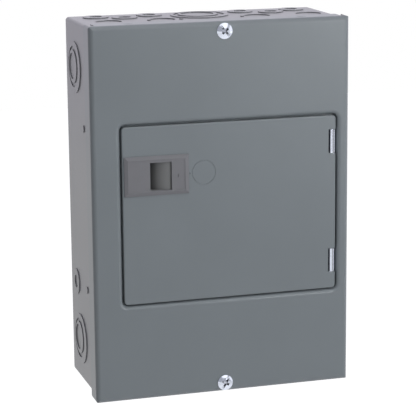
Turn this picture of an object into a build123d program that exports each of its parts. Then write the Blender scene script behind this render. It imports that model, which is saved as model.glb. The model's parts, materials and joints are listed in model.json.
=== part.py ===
from build123d import *

import os
from math import atan, cos, degrees, radians, sqrt, tan

# Surface-mounted load center. Millimetres. Origin at the middle of the box's back face, which
# lies on the wall at y = 0. +X is to the right seen from the front, the front faces -Y, +Z is up.

# Whole object
overall_width = 225.6
overall_height = 319.3
overall_depth = 96.5

# Clearances
running_gap = 0.03  # round shaft in its bore, on the radius
seat_gap = 0.3  # between bodies that rest against each other
hair = 0.02  # between pieces that touch
cut_past = 1.0  # how far a cut runs past the face it opens

# Box
box_sheet = 1.3
box_corner_radius = 3.0
box_back_radius = 2.4
cover_side_gap = 0.7
cover_top_gap = 0.4
cover_bottom_gap = 2.05
mount_hole_radius = 3.2
mount_hole_x = 152.4
mount_hole_z = 254.0
boss_top_radius = 6.5
boss_base_radius = 9.5
tab_width = 20.0
tab_length = 11.5
tab_thick = 2.0

# Knockouts: diameters, named by the conduit's metric trade size, and their places on the walls
knockout_16 = 22.2
knockout_21 = 28.6
knockout_27 = 34.9
knockout_35 = 43.7
knockout_41 = 50.0
knockout_pilot = 11.0
knockout_step = 0.8
end_back_land = 6.0
knockout_ring_land = 1.2
side_group_top = 39.1
side_group_bottom = 37.2
side_back_land = 12.0
side_small_y = 22.0
side_small_z = -71.3
dimple_radius = 3.0
side_dimple_y = 62.0
side_dimple_z = 69.6
end_back_inner_x = 41.0
end_back_inset = 22.9
end_back_row_y = 17.2
end_middle_x = 65.5
end_middle_y = 28.5
end_front_inner_x = 42.0
end_front_inset = 22.4
end_front_row_y = 51.0
end_front_shift = 3.6
end_dimple_radius = 1.7
end_dimple_x = [-51.0, -23.0, 31.0]
end_dimple_y = 55.0

# Cover
cover_sheet = 1.2
cover_flange = 19.5
cover_bend_radius = 4.0
cover_corner_radius = 2.4
flange_dimple_x = [-78.0, 72.7]
flange_dimple_radius = 4.7
flange_dimple_depth = 0.7
cover_relief = 6.0
cover_foot_chamfer = 3.0
cover_screw_inset = 8.05
cover_screw_x = [2.2, 0.5]  # top, bottom
screw_major_radius = 2.1
screw_head_radius = 6.7
screw_head_height = 2.9
screw_rim = 0.7
screw_length = 14.0
screw_slot_width = 1.9
screw_slot_depth = 1.5
screw_recess_depth = 2.4
screw_cross_half = 3.2
top_slot_angle = -50.0
bottom_slot_angle = 60.0

# Door and its recess
door_left_margin = 25.7
door_right_margin = 11.8
door_half_height = 75.65
door_corner_radius = 3.2
door_sheet = 1.2
door_sink = 0.3
door_pan_depth = 4.0
door_edge_radius = 1.0
recess_margin = 1.7
recess_run = 1.0
recess_depth = 6.5
recess_corner_radius = 4.9
recess_lip_radius = 3.6
ledge_width = 7.4

# Hinges
hinge_z = 52.1
hinge_rise = 1.2
hinge_inset = 2.7
hinge_depth = 2.6
barrel_radius = 2.6
barrel_length = 20.0
barrel_seam = 0.9
barrel_seam_shift = 0.45
hinge_leaf_thick = 1.0
hinge_leaf_width = 9.5
hinge_pin_radius = 1.0
hinge_pin_length = 28.0
hinge_notch_gap = 0.5
hinge_notch_left = 3.8
clip_thick = 1.0
clip_ear_radius = 2.2
clip_ear_thick = 2.0
clip_width = 12.0
clip_gap = 0.4

# Dead front
dead_sheet = 1.2
dead_front_depth = 24.0
dead_wall_inset = 2.4
dead_flange = 7.6
dead_corner_radius = 5.0
opening_length = 38.4
opening_rib = 1.6
twistout_groove = 0.8

# Breakers and their places
space_pitch = 19.05
row_count = 4
breaker_gap = 0.25
breaker_inner_x = 6.0
breaker_length = 76.0
breaker_body = 44.0
shoulder_gap = 0.5
escutcheon_x = 40.0
escutcheon_gap = 0.4
escutcheon_rise = 3.0
escutcheon_chamfer = 0.8
terminal_step_length = 15.0
terminal_step_drop = 22.8
handle_axis_depth = 29.0
handle_hub_radius = 5.0
handle_cavity_gap = 0.4
handle_width = 7.4
handle_reach = 15.8
handle_base_thick = 5.2
handle_tip_thick = 3.8
handle_tip_round = 0.8
handle_lean = 20.0
handle_slot_half = 8.0
handle_slot_root = 1.5
trunnion_radius = 1.5
trunnion_length = 2.0
tie_bar_height = 4.3
jaw_pocket_length = 16.0
jaw_pocket_width = 9.0
jaw_pocket_depth = 16.2
jaw_thick = 1.2
jaw_length = 7.5
jaw_inset = 1.5
terminal_width = 11.0
terminal_length = 9.5
terminal_height = 10.0
terminal_back_gap = 1.0
terminal_screw_radius = 3.6
terminal_screw_stand = 1.5
terminal_screw_bite = 2.7
terminal_wire_radius = 3.2
terminal_wire_depth = 6.0

# Interior
small_slot_width = 1.0
small_slot_depth = 1.0
wide_slot_width = 1.2
wide_slot_depth = 1.2
pan_sheet = 1.5
pan_margin = 2.0
pan_top = 88.0
pan_bottom = 82.0
pan_hem = 6.0
pan_screw_radius = 2.0
pan_screw_head = 4.2
pan_screw_crown = 3.4
pan_screw_head_height = 2.4
pan_screw_length = 4.2
pan_screw_x = [60.0, 30.0]
pan_screw_z = [80.0, -77.0]
bar_width = 10.0
bar_thick = 3.0
bar_x = 10.0
bar_gap = 1.3
bar_past_lug = 1.0
bar_past_stab = 8.425
stab_thick = 2.4
stab_half_length = 16.0
stab_rise = 14.5
stab_clear = 3.0
insulator_width = 44.0
insulator_thick = 8.0
insulator_above = 13.9
insulator_below = 5.9
barrier_width = 3.0
barrier_height = 2.0
bus_screw_radius = 2.0
bus_screw_head = 3.8
bus_screw_head_height = 1.0
bus_slot_depth = 0.7
bus_screw_floor = 2.8
bus_screw_tip_gap = 1.0
bus_screw_inset = 5.0
lug_x = 14.0
lug_z = 73.0
lug_width = 18.0
lug_length = 20.0
lug_height = 22.0
lug_chamfer = 1.0
lug_wire_radius = 5.4
lug_wire_depth = 8.0
lug_screw_radius = 4.2
lug_screw_hex = 4.0
lug_screw_stand = 1.0
lug_socket_depth = 3.5
neutral_z = -66.0
neutral_end = 5.0
neutral_section = 11.0
neutral_pitch = 9.5
neutral_count = 12
neutral_wire_radius = 2.6
neutral_screw_radius = 2.4
neutral_screw_stand = 2.5
neutral_screw_bite = 2.8
neutral_tang = 22.0
neutral_tang_thick = 3.0
neutral_lug_width = 18.0
neutral_lug_height = 20.0
standoff_x = 50.0
standoff_size = 12.0
standoff_height = 10.5
standoff_chamfer = 1.5
bonding_reach = 10.0
bonding_radius = 2.5
bonding_head_radius = 4.6
bonding_head_height = 3.0
bonding_tip = 0.5
rail_sheet = 1.5
rail_side_gap = 2.5
rail_lip = 6.5
rail_hook = 3.2
rail_end = 3.9

# Latch
bezel_inset = 29.4
bezel_z = 33.8
bezel_width = 55.6
bezel_height = 33.4
bezel_thick = 2.0
bezel_border = 3.7
bezel_edge = 0.9
bezel_slope = 0.8  # share of the border's width that slopes
panel_sink = 0.35
bezel_undercut = 0.45
window_shift = 3.4
window_drop = 0.8
window_width = 18.6
window_height = 23.6
slit_shift = 18.1
slit_drop = 0.9
slit_width = 0.9
slit_height = 2.6
slit_depth = 0.6
housing_left_reach = 19.8
housing_right_reach = 23.2
housing_height = 27.6
housing_wall = 1.2
housing_gap = 0.3
slide_rear_depth = 9.9
finger_depth = 8.0
finger_land = 1.6
latch_travel = 4.5
bolt_thick = 1.8
bolt_height = 14.0
bolt_root = 1.0
bolt_nose = 1.1
bolt_overlap = 2.8
keeper_thick = 1.2
spring_radius = 2.5
spring_wire_radius = 0.25
spring_turns = 4
spring_squeezed = 3.0
lock_disc_shift = 41.0
lock_disc_radius = 10.0
lock_groove = 0.5
lock_groove_depth = 0.35
lock_pip_shift = 29.5
lock_pip_radius = 1.4
lock_pip_sink = 0.85
card_width = 96.0
card_height = 92.0
card_thick = 0.3
card_shift = 17.05
card_drop = 10.0

# What stands in each space, from the top down. A two-pole breaker takes two spaces.
left_column = ["breaker_1", "breaker_2", "breaker_3", "spare"]
right_column = ["breaker_two_pole", "breaker_two_pole", "breaker_4", "spare"]

# Worked out from the values above
box_width = overall_width - 2 * (cover_sheet + cover_side_gap)
box_height = overall_height - 2 * cover_sheet - cover_top_gap - cover_bottom_gap
bend_inside = cover_bend_radius - cover_sheet
bend_reach = bend_inside - min(cover_side_gap, cover_top_gap)
# The box's front edge seats inside the cover's bend.
box_depth = overall_depth - cover_bend_radius + sqrt(bend_inside**2 - bend_reach**2) - seat_gap
cover_z = (cover_top_gap - cover_bottom_gap) / 2
cover_screw_z = overall_height / 2 - cover_screw_inset
front_y = -overall_depth
inner_y = front_y + cover_sheet
ledge_front_y = front_y + recess_depth
ledge_back_y = ledge_front_y + cover_sheet
door_front_y = front_y + door_sink
door_back_y = door_front_y + door_sheet
door_left = -overall_width / 2 + door_left_margin
door_right = overall_width / 2 - door_right_margin
door_mid_x = (door_left + door_right) / 2
door_width = door_right - door_left
door_height = 2 * door_half_height
hinge_x = door_right - hinge_inset
hinge_y = front_y + hinge_depth
dead_y = front_y + dead_front_depth
shoulder_y = dead_y + dead_sheet + shoulder_gap
breaker_back_y = shoulder_y + breaker_body
handle_axis_y = overall_depth - handle_axis_depth
bar_front_y = -breaker_back_y - bar_gap
pan_front_y = -bar_front_y + bar_thick + insulator_thick
boss_y = pan_front_y + pan_sheet
rows_half_height = row_count * space_pitch / 2
rows = [cover_z + rows_half_height - space_pitch * (i + 0.5) for i in range(row_count)]
rail_web_x = breaker_inner_x + breaker_length + rail_side_gap
rail_lip_x = rail_web_x - rail_lip
rail_lip_front = -breaker_back_y + rail_hook
pan_width = 2 * (rail_web_x + rail_sheet + pan_margin)
insulator_top = rows_half_height + insulator_above
insulator_bottom = rows_half_height + insulator_below
bar_top = lug_z + lug_length / 2 + bar_past_lug
neutral_half_length = neutral_count * neutral_pitch / 2 + neutral_end
neutral_back_y = standoff_height - pan_front_y
bonding_x = neutral_half_length + bonding_reach
bezel_x = door_left + bezel_inset
window_x = bezel_x + window_shift
housing_left = bezel_x - housing_left_reach
housing_right = bezel_x + housing_right_reach
slide_rear_y = overall_depth - slide_rear_depth
latch_spring_room = latch_travel + spring_squeezed
lock_disc_x = bezel_x + lock_disc_shift
lock_pip_x = bezel_x + lock_pip_shift
card_x = door_mid_x + card_shift


def placed_breakers():
    """Name, column side, height and poles of each breaker."""
    placed = []
    for side, column in ((-1, left_column), (1, right_column)):
        for name in dict.fromkeys(column):
            spaces = [z for z, taken in zip(rows, column) if taken == name]
            if name != "spare":
                placed.append((name, side, sum(spaces) / len(spaces), len(spaces)))
    return placed


def block(x0, x1, y0, y1, z0, z1):
    """A box between two corners, given in any order."""
    size = (abs(x1 - x0), abs(y1 - y0), abs(z1 - z0))
    return Pos((x0 + x1) / 2, (y0 + y1) / 2, (z0 + z1) / 2) * Box(*size)


def along_y(radius, y0, y1, x=0.0, z=0.0, end_radius=None):
    """A round bar or cone from y0 to y1."""
    place = Pos(x, (y0 + y1) / 2, z) * Rot(90 if y0 > y1 else -90, 0, 0)
    if end_radius is None:
        return place * Cylinder(radius, abs(y1 - y0))
    return place * Cone(radius, end_radius, abs(y1 - y0))


def along_z(radius, z0, z1, x, y):
    return Pos(x, y, (z0 + z1) / 2) * Cylinder(radius, abs(z1 - z0))


def along_x(radius, x0, x1, y, z):
    return Pos((x0 + x1) / 2, y, z) * Rot(0, 90, 0) * Cylinder(radius, abs(x1 - x0))


def plate(width, height, radius, y0, y1, x=0.0, z=0.0, taper=0.0):
    """A slab with rounded corners from y0 back to y1, narrowing by the taper angle."""
    face = Plane((x, y0, z), x_dir=(1, 0, 0), z_dir=(0, 1, 0)) * RectangleRounded(width, height, radius)
    return extrude(face, y1 - y0, dir=(0, 1, 0), taper=taper)


def edges_at_y(shape, y, margin=0.01):
    return shape.edges().filter_by_position(Axis.Y, y - margin, y + margin)


def slot_cut(radius, top, depth, width, x, z):
    """The slot across a screw's head, from its top back by the depth."""
    return block(x - radius, x + radius, top, top + depth, z - width / 2, z + width / 2)


# Knockouts are half-sheared discs: alternate rings stand out from the wall or lie sunk in it.
def ring(outer, inner, depth):
    """A ring, or a disc when inner is 0, that rises along +Z from the origin."""
    body = Pos(0, 0, depth / 2) * Cylinder(outer / 2, depth)
    if inner:
        body -= Pos(0, 0, depth / 2) * Cylinder(inner / 2, depth)
    return body


def knockout(place, outer, inner, raised):
    """What one ring adds to the wall and takes from it; place's Z points out of the wall."""
    body = ring(outer, inner, knockout_step)
    outside = place * body
    inside = place * Pos(0, 0, -box_sheet) * body
    if raised:
        return outside, inside
    below = place * Pos(0, 0, -box_sheet - knockout_step) * body
    above = place * Pos(0, 0, -knockout_step) * body
    return below, above


def eccentric_group(wall, along, sizes, land):
    """Nested knockouts that share a land, this far from the back of the box."""
    pieces = []
    for i in range(0, len(sizes), 2):
        outer, inner = sizes[i], sizes[i + 1]
        back = land + i * knockout_ring_land
        next_back = back + knockout_ring_land
        disc = ring(outer, 0, knockout_step)
        hole = ring(inner, 0, knockout_step)
        shift = (next_back + inner / 2) - (back + outer / 2)
        body = disc - Pos(0, shift, 0) * hole
        spot = wall(along, back + outer / 2)
        pieces.append((spot * body, spot * Pos(0, 0, -box_sheet) * body))
    return pieces


def end_wall(top):
    """Places on the top or bottom wall: X across, local Y towards the front."""
    z = box_height / 2 if top else -box_height / 2
    out = (0, 0, 1 if top else -1)

    def at(x, depth):
        plane = Plane((x, -depth, z), x_dir=(-1 if top else 1, 0, 0), z_dir=out)
        return plane.location

    return at


def side_wall(side):
    """Places on the left (-1) or right (+1) wall, local Y towards the front."""

    def at(z, depth):
        plane = Plane((side * box_width / 2, -depth, z), x_dir=(0, 0, side), z_dir=(side, 0, 0))
        return plane.location

    return at


def wall_features():
    pieces = []
    side_sizes = [knockout_35, knockout_27, knockout_21, knockout_16]
    end_sizes = [knockout_41, knockout_35, knockout_27, knockout_21]
    for side in (-1, 1):
        wall = side_wall(side)
        for z in (box_height / 2 - side_group_top, side_group_bottom - box_height / 2):
            pieces += eccentric_group(wall, z, side_sizes, side_back_land)
        pieces.append(knockout(wall(side_small_z, side_small_y), knockout_16, knockout_pilot, True))
        for z in (side_dimple_z, -side_dimple_z):
            pieces.append(knockout(wall(z, side_dimple_y), 2 * dimple_radius, 0, True))
    for top in (True, False):
        wall = end_wall(top)
        pieces += eccentric_group(wall, 0.0, end_sizes, end_back_land)
        for m in (-1, 1):
            for x in (end_back_inner_x, box_width / 2 - end_back_inset):
                spot = wall(m * x, end_back_row_y)
                pieces.append(knockout(spot, knockout_16, knockout_pilot, True))
            spot = wall(m * end_middle_x, end_middle_y)
            pieces.append(knockout(spot, knockout_16, knockout_pilot, True))
            for x in (end_front_inner_x, box_width / 2 - end_front_inset):
                spot = wall(m * x + end_front_shift, end_front_row_y)
                pieces.append(knockout(spot, knockout_16, 0, False))
        for x in end_dimple_x:
            pieces.append(knockout(wall(x, end_dimple_y), 2 * end_dimple_radius, 0, True))
    return pieces


def enclosure_box():
    half_w = box_width / 2
    half_h = box_height / 2
    outer = block(-half_w, half_w, -box_depth, 0, -half_h, half_h)
    outer = fillet(outer.edges().filter_by(Axis.Y), box_corner_radius)
    outer = fillet(edges_at_y(outer, 0), box_back_radius)
    inner = block(
        -half_w + box_sheet, half_w - box_sheet, -box_depth, -box_sheet,
        -half_h + box_sheet, half_h - box_sheet,
    )
    inner = fillet(inner.edges().filter_by(Axis.Y), box_corner_radius - box_sheet)
    inner = fillet(edges_at_y(inner, -box_sheet), box_back_radius - box_sheet)
    box = outer - inner

    added = []
    removed = []
    for plus, minus in wall_features():
        added.append(plus)
        removed.append(minus)
    # Drawn bosses that carry the interior pan, hollow behind.
    for x, z in pan_screw_places():
        added.append(along_y(boss_base_radius, -box_sheet, boss_y, x, z, boss_top_radius))
        removed.append(
            along_y(boss_base_radius - box_sheet, 0, boss_y + box_sheet, x, z, boss_top_radius - box_sheet)
        )
        removed.append(along_y(pan_screw_radius + running_gap, 0, boss_y, x, z))
    # Tabs bent in from the end walls take the cover screws.
    for x, z in cover_screw_places():
        end = half_h - box_sheet if z > 0 else -half_h + box_sheet
        tip = end - tab_length if z > 0 else end + tab_length
        y = -box_depth
        added.append(block(x - tab_width / 2, x + tab_width / 2, y, y + tab_thick, end, tip))
        removed.append(along_y(screw_major_radius + running_gap, y, y + tab_thick, x, z))
    for x in (-mount_hole_x / 2, mount_hole_x / 2):
        for z in (-mount_hole_z / 2, mount_hole_z / 2):
            removed.append(along_y(mount_hole_radius, 0, -box_sheet, x, z))
    box = box + added
    return box - removed


def pan_screw_places():
    return [(m * x, cover_z + z) for x, z in zip(pan_screw_x, pan_screw_z) for m in (-1, 1)]


def cover_screw_places():
    return list(zip(cover_screw_x, (cover_z + cover_screw_z, cover_z - cover_screw_z)))


# Cover
def folded_block(inset):
    """The space inside the cover's bent sheet, this far in from its outer faces."""
    half_w = overall_width / 2 - inset
    half_h = overall_height / 2 - inset
    front = front_y + inset
    rear_y = front_y + cover_flange
    low = cover_z - half_h
    high = cover_z + half_h
    bend = cover_bend_radius - inset
    body = block(-half_w, half_w, front, rear_y, low, high)
    across = fillet(edges_at_y(body, front).filter_by(Axis.Z), bend)
    upright = fillet(edges_at_y(body, front).filter_by(Axis.X), bend)
    corners = fillet(body.edges().filter_by(Axis.Y), cover_corner_radius - inset)
    return across & upright & corners


def cover():
    half_w = overall_width / 2
    half_h = overall_height / 2
    rear_y = front_y + cover_flange
    shell = folded_block(0.0) - folded_block(cover_sheet)

    # The end flanges stop short of the side flanges, which are cut back at their feet.
    cuts = []
    for side in (-1, 1):
        for end in (-1, 1):
            x0 = side * (half_w - cover_sheet)
            x1 = side * (half_w - cover_relief)
            z0 = cover_z + end * (half_h - cover_bend_radius)
            z1 = cover_z + end * (half_h + cut_past)
            cuts.append(block(x0, x1, front_y + cover_bend_radius, rear_y, z0, z1))
            corner = Pos(side * half_w, rear_y, cover_z + end * half_h) * Rot(45, 0, 0)
            cuts.append(corner * Box(3 * cover_bend_radius, cover_foot_chamfer, cover_foot_chamfer))
    # Shallow dimples coined in the top flange, just behind its bend.
    ball = (flange_dimple_radius**2 + flange_dimple_depth**2) / (2 * flange_dimple_depth)
    dimple_y = front_y + cover_bend_radius + flange_dimple_radius
    for x in flange_dimple_x:
        cuts.append(Pos(x, dimple_y, cover_z + half_h - flange_dimple_depth + ball) * Sphere(ball))
    shell -= cuts

    # Door recess: a sloping wall drawn back to the ledge that the door closes over.
    slope = degrees(atan(recess_run / recess_depth))
    width = door_width + 2 * recess_margin
    height = door_height + 2 * recess_margin
    skin = cover_sheet / cos(radians(slope))
    spread = cover_sheet * tan(radians(slope))
    outer = plate(
        width + 2 * skin, height + 2 * skin, recess_corner_radius + skin,
        front_y, ledge_back_y, door_mid_x, cover_z, slope,
    )
    hollow = plate(
        width, height, recess_corner_radius, front_y, ledge_front_y, door_mid_x, cover_z, slope
    )
    foot = ledge_width + recess_run
    opening = plate(
        width - 2 * foot, height - 2 * foot, recess_corner_radius - recess_run,
        ledge_front_y - spread, ledge_back_y + spread, door_mid_x, cover_z,
    )
    shell = shell + outer - hollow - opening
    for y, radius in ((front_y, recess_lip_radius), (inner_y, recess_lip_radius - cover_sheet)):
        lip = edges_at_y(shell, y).filter_by(
            lambda e: abs(e.center().X) < half_w - 2 * cover_bend_radius
            and abs(e.center().Z - cover_z) < height / 2 + 2 * cover_sheet
        )
        shell = fillet(lip, radius)
    holes = [along_y(screw_major_radius + seat_gap, front_y, inner_y, x, z) for x, z in cover_screw_places()]
    return shell - holes


def cover_screw(x, z, angle):
    """Pan head with a slot across a cross recess; the head's rim seats on the cover."""
    rise = screw_head_height - screw_rim
    crown = (screw_head_radius**2 + rise**2) / (2 * rise)
    dome = Pos(x, front_y - screw_head_height + crown, z) * Sphere(crown)
    head = dome & along_y(screw_head_radius, front_y, front_y - screw_head_height - cut_past, x, z)
    turn = Pos(x, 0, z) * Rot(0, -angle, 0)
    top = front_y - screw_head_height
    reach = screw_head_radius + cut_past
    half = screw_slot_width / 2
    slot = turn * block(-reach, reach, top, top + screw_slot_depth, -half, half)
    arm = screw_cross_half
    across = turn * block(-half, half, top, top + screw_recess_depth, -arm, arm)
    deep = turn * block(-arm, arm, top, top + screw_recess_depth, -half, half)
    shank = along_y(screw_major_radius, front_y, front_y + screw_length, x, z)
    return head + shank - [slot, across, deep]


def cover_screws():
    top, bottom = cover_screw_places()
    return Compound(children=[cover_screw(*top, top_slot_angle), cover_screw(*bottom, bottom_slot_angle)])


def dead_wall_size():
    inset = recess_run + dead_wall_inset - recess_margin
    return door_width - 2 * inset, door_height - 2 * inset


def dead_front():
    width, height = dead_wall_size()
    pan = plate(width, height, dead_corner_radius, ledge_back_y, dead_y + dead_sheet, door_mid_x, cover_z)
    pan -= plate(
        width - 2 * dead_sheet, height - 2 * dead_sheet, dead_corner_radius - dead_sheet,
        ledge_back_y, dead_y, door_mid_x, cover_z,
    )
    flange = plate(
        width + 2 * dead_flange, height + 2 * dead_flange, dead_corner_radius + dead_flange,
        ledge_back_y, ledge_back_y + dead_sheet, door_mid_x, cover_z,
    )
    flange -= plate(
        width - dead_sheet, height - dead_sheet, dead_corner_radius,
        ledge_back_y, ledge_back_y + dead_sheet, door_mid_x, cover_z,
    )
    pan += flange
    cuts = []
    groove = twistout_groove
    for side, column in ((-1, left_column), (1, right_column)):
        x0 = side * (escutcheon_x - opening_length / 2)
        x1 = side * (escutcheon_x + opening_length / 2)
        for name, column_side, z, poles in placed_breakers():
            if column_side == side:
                half = (space_pitch * poles - opening_rib) / 2
                cuts.append(block(x0, x1, dead_y, dead_y + dead_sheet, z - half, z + half))
        # A twistout over each spare space, outlined by a groove and left in place.
        half = (space_pitch - opening_rib) / 2
        x2 = x0 + side * groove
        x3 = x1 - side * groove
        for z in [z for z, name in zip(rows, column) if name == "spare"]:
            outline = block(x0, x1, dead_y, dead_y + groove, z - half, z + half)
            outline -= block(x2, x3, dead_y, dead_y + groove, z - half + groove, z + half - groove)
            cuts.append(outline)
    return pan - cuts


# Hinges: a rolled barrel on the cover's ledge, a pin, and a clip behind the door.
def hinge_leaf(z):
    half = barrel_length / 2
    barrel = along_z(barrel_radius, z - half, z + half, hinge_x, hinge_y)
    right = hinge_x + barrel_radius
    neck = block(right - hinge_leaf_thick, right, hinge_y, ledge_front_y, z - half, z + half)
    foot = block(
        right - hinge_leaf_width, right, ledge_front_y - hinge_leaf_thick, ledge_front_y,
        z - half, z + half,
    )
    leaf = barrel + neck + foot
    bore = along_z(hinge_pin_radius + running_gap, z - half, z + half, hinge_x, hinge_y)
    seam_x = hinge_x + barrel_seam_shift
    seam = block(
        seam_x - barrel_seam / 2, seam_x + barrel_seam / 2, hinge_y - barrel_radius,
        hinge_y - hinge_pin_radius - barrel_seam, z - half, z + half,
    )
    return leaf - bore - seam


def hinge_pin(z):
    half = hinge_pin_length / 2
    return along_z(hinge_pin_radius, z - half, z + half, hinge_x, hinge_y)


def hinge_clip(z):
    """A clip welded to the door's back, with an ear at each end of the barrel."""
    ear_inner = barrel_length / 2 + clip_gap
    ear_outer = ear_inner + clip_ear_thick
    edge = hinge_x - hinge_notch_left - clip_gap
    base = block(
        edge - clip_width, edge, door_back_y, door_back_y + clip_thick, z - ear_outer, z + ear_outer
    )
    ears = []
    for m in (-1, 1):
        z0 = z + m * ear_inner
        z1 = z + m * ear_outer
        ring_part = along_z(clip_ear_radius, min(z0, z1), max(z0, z1), hinge_x, hinge_y)
        arm = block(edge - clip_thick, hinge_x, door_back_y, hinge_y + clip_ear_radius, z0, z1)
        ahead = block(edge - clip_thick, hinge_x + clip_ear_radius, front_y, door_back_y, z0, z1)
        ears.append((ring_part + arm) - ahead)
    clip = base + ears
    return clip - along_z(
        hinge_pin_radius + running_gap, z - hinge_pin_length, z + hinge_pin_length, hinge_x, hinge_y
    )


# Door
def door_panel():
    door = plate(
        door_width, door_height, door_corner_radius, door_front_y, door_front_y + door_pan_depth,
        door_mid_x, cover_z,
    )
    door = fillet(edges_at_y(door, door_front_y), door_edge_radius)
    door -= plate(
        door_width - 2 * door_sheet, door_height - 2 * door_sheet, door_corner_radius - door_sheet,
        door_back_y, door_front_y + door_pan_depth, door_mid_x, cover_z,
    )
    # No return along the hinge side, so that the edge can swing back past the pin.
    cuts = [
        block(
            hinge_x - hinge_notch_left, door_right, door_back_y, door_front_y + door_pan_depth,
            cover_z - door_half_height, cover_z + door_half_height,
        )
    ]
    notch = barrel_length / 2 + hinge_notch_gap
    for z in hinge_places():
        cuts.append(
            block(hinge_x - hinge_notch_left, door_right, door_front_y, door_back_y, z - notch, z + notch)
        )
    half = housing_height / 2 + housing_gap
    cuts.append(
        block(
            housing_left - housing_gap, housing_right + housing_gap, door_front_y, door_back_y,
            latch_z() - half, latch_z() + half,
        )
    )
    groove = along_y(lock_disc_radius + lock_groove, door_front_y, door_front_y + lock_groove_depth,
                     lock_disc_x, lock_z())
    groove -= along_y(lock_disc_radius, door_front_y, door_front_y + lock_groove_depth,
                      lock_disc_x, lock_z())
    cuts.append(groove)
    door -= cuts
    # A small raised pip beside the disc, round in front and flush behind.
    pip = Pos(lock_pip_x, door_front_y + lock_pip_sink, lock_z()) * Sphere(lock_pip_radius)
    pip &= along_y(lock_pip_radius, door_front_y - lock_pip_radius, door_back_y, lock_pip_x, lock_z())
    return door + pip


def hinge_places():
    return [cover_z + hinge_rise + hinge_z, cover_z + hinge_rise - hinge_z]


def latch_z():
    """Height of the window, and of the housing and slide behind it."""
    return cover_z + bezel_z - window_drop


def lock_z():
    return cover_z + bezel_z


def directory_card():
    return block(
        card_x - card_width / 2, card_x + card_width / 2, door_back_y, door_back_y + card_thick,
        cover_z - card_drop - card_height / 2, cover_z - card_drop + card_height / 2,
    )


# Latch
def latch_bezel():
    z = latch_z()
    mid_z = z + window_drop
    y = door_front_y
    bezel = block(
        bezel_x - bezel_width / 2, bezel_x + bezel_width / 2, y - bezel_edge, y,
        mid_z - bezel_height / 2, mid_z + bezel_height / 2,
    )
    # The border slopes up from its thin edge to the panel.
    rise = bezel_thick - bezel_edge
    base = Plane((bezel_x, y - bezel_edge, mid_z), x_dir=(1, 0, 0), z_dir=(0, -1, 0))
    slope = degrees(atan(bezel_border * bezel_slope / rise))
    bezel += extrude(base * Rectangle(bezel_width, bezel_height), rise, dir=(0, -1, 0), taper=slope)
    panel_w = bezel_width - 2 * bezel_border
    panel_h = bezel_height - 2 * bezel_border
    bezel -= block(
        bezel_x - panel_w / 2, bezel_x + panel_w / 2, y - bezel_thick, y - bezel_thick + panel_sink,
        mid_z - panel_h / 2, mid_z + panel_h / 2,
    )
    # A shadow line runs round the bezel where it meets the door.
    waist_w = bezel_width - 2 * bezel_undercut
    waist_h = bezel_height - 2 * bezel_undercut
    line = block(
        bezel_x - bezel_width / 2, bezel_x + bezel_width / 2, y - bezel_undercut, y,
        mid_z - bezel_height / 2, mid_z + bezel_height / 2,
    )
    line -= block(
        bezel_x - waist_w / 2, bezel_x + waist_w / 2, y - bezel_undercut, y,
        mid_z - waist_h / 2, mid_z + waist_h / 2,
    )
    bezel -= line
    slit_x = bezel_x + slit_shift
    slit_z = mid_z - slit_drop
    panel_y = y - bezel_thick + panel_sink
    bezel -= block(
        slit_x - slit_width / 2, slit_x + slit_width / 2, panel_y, panel_y + slit_depth,
        slit_z - slit_height / 2, slit_z + slit_height / 2,
    )
    half = housing_height / 2
    keeper_y = -slide_rear_y + housing_gap
    housing = block(housing_left, housing_right, y, keeper_y, z - half, z + half)
    inner = half - housing_wall
    housing -= block(
        housing_left + housing_wall, housing_right - housing_wall, y, keeper_y, z - inner, z + inner
    )
    bolt_half = bolt_height / 2 + housing_gap
    housing -= block(
        housing_left, housing_left + housing_wall, -slide_rear_y - bolt_thick - housing_gap, keeper_y,
        z - bolt_half, z + bolt_half,
    )
    window = block(
        window_x - window_width / 2, window_x + window_width / 2, y - bezel_thick, y,
        z - window_height / 2, z + window_height / 2,
    )
    return bezel + housing - window


def latch_keeper():
    half = housing_height / 2
    y = -slide_rear_y + housing_gap
    return block(housing_left, housing_right, y, y + keeper_thick, latch_z() - half, latch_z() + half)


def latch_slide():
    z = latch_z()
    half = housing_height / 2 - housing_wall - housing_gap
    left = housing_left + housing_wall + housing_gap
    right = housing_right - housing_wall - latch_spring_room
    front = door_front_y + housing_gap
    slide = block(left, right, front, -slide_rear_y, z - half, z + half)
    # The finger's hollow rolls off from its land at the right, deepest at the window's left edge.
    hollow_left = window_x - window_width / 2
    reach = window_width - finger_land
    roll = (reach**2 + finger_depth**2) / (2 * finger_depth)
    finger_half = window_height / 2 - housing_gap
    hollow = block(
        hollow_left, hollow_left + reach, front, front + finger_depth, z - finger_half, z + finger_half
    )
    slide -= hollow - along_z(roll, z - finger_half, z + finger_half, hollow_left + reach, front + roll)
    tip = housing_ledge_x() - bolt_overlap
    bolt = block(
        tip, left + bolt_root, -slide_rear_y - bolt_thick, -slide_rear_y,
        z - bolt_height / 2, z + bolt_height / 2,
    )
    nose = bolt.edges().filter_by(Axis.Z).sort_by(Axis.X)[:2].sort_by(Axis.Y)[-1:]
    return slide + chamfer(nose, bolt_nose)


def housing_ledge_x():
    """Inner edge of the ledge on the latch side."""
    return door_left - recess_margin + recess_run + ledge_width


def latch_spring():
    """Small compression spring between the slide and the end of its housing."""
    end = housing_right - housing_wall - spring_wire_radius - hair
    start = housing_right - housing_wall - latch_spring_room + spring_wire_radius + hair
    pitch = (end - start) / spring_turns
    y = (door_front_y - slide_rear_y) / 2
    coil_radius = spring_radius - spring_wire_radius
    place = Pos(start, y, latch_z()) * Rot(0, 90, 0)
    path = Helix(pitch=pitch, height=end - start, radius=coil_radius)
    profile = Plane(origin=path @ 0, z_dir=path % 0) * Circle(spring_wire_radius)
    return place * sweep(profile, path=path, is_frenet=True)


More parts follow.
